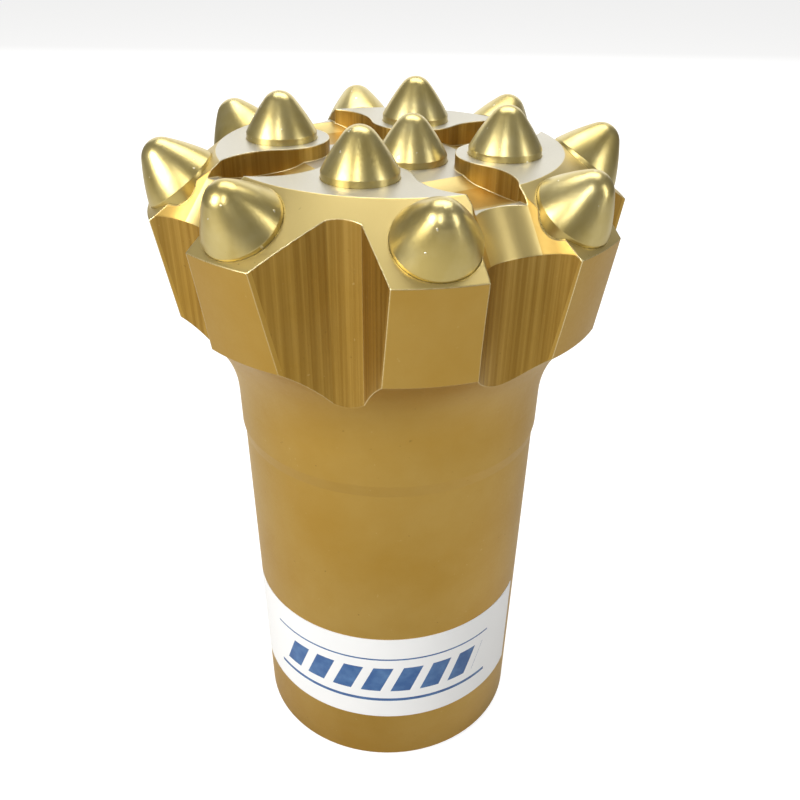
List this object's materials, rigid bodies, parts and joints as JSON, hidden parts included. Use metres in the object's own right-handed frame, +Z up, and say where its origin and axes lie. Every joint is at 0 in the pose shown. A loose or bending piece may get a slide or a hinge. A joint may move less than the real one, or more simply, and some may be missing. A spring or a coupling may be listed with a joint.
{
  "type": "button drill bit",
  "caption": "Threaded steel rock drill bit with a fluted head, pressed carbide buttons on its face and gauge, flushing holes and a left-hand rope-thread socket.",
  "frame": {"origin": "centre of the skirt's open end, on the face the bit stands on", "axes": "+Z up the bit's axis to its cutting face, +X to the right and +Y away from the side with the label"},
  "size_m": [0.099, 0.099, 0.1608],
  "materials": {
    "gold_paint": "satin metallic gold",
    "painted_carbide": "satin metallic gold over carbide",
    "label_film": "matt white film"
  },
  "bodies": {
    "root": {"bit_body": "gold_paint", "face_button_1": "painted_carbide", "face_button_2": "painted_carbide", "face_button_3": "painted_carbide", "face_button_4": "painted_carbide", "gauge_button_1": "painted_carbide", "gauge_button_2": "painted_carbide", "gauge_button_3": "painted_carbide", "gauge_button_4": "painted_carbide", "gauge_button_5": "painted_carbide", "gauge_button_6": "painted_carbide", "gauge_button_7": "painted_carbide", "gauge_button_8": "painted_carbide", "centre_button": "painted_carbide", "label": "label_film"}
  },
  "joints": []
}
